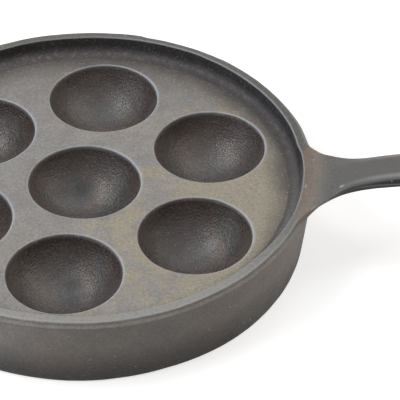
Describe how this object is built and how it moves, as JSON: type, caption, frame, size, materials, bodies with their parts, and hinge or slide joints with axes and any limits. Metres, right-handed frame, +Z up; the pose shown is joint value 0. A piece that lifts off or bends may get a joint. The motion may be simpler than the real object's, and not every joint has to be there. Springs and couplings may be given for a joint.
{
  "type": "aebleskiver pan",
  "caption": "Round cast-iron pan with half-round wells sunk in a flat deck inside a raised rim, a plain side wall, and a long rising handle with a hanging hole.",
  "frame": {"origin": "centre of the ring that the pan stands on, at stove height, on the pan's own axis", "axes": "+Z up out of the wells, +X along the handle from the pan's axis to its tip"},
  "size_m": [0.3645, 0.229, 0.0575],
  "materials": {
    "seasoned_iron": "seasoned sand casting, satin, worn lighter on its edges",
    "well_iron": "darker baked-on seasoning, fine sand grain"
  },
  "bodies": {
    "root": {"deck": "seasoned_iron", "rim": "seasoned_iron", "skirt": "seasoned_iron", "well_centre": "well_iron", "well_1": "well_iron", "well_2": "well_iron", "well_3": "well_iron", "well_4": "well_iron", "well_5": "well_iron", "well_6": "well_iron", "handle_root": "seasoned_iron", "handle_grip": "seasoned_iron", "handle_eye": "seasoned_iron"}
  },
  "joints": []
}
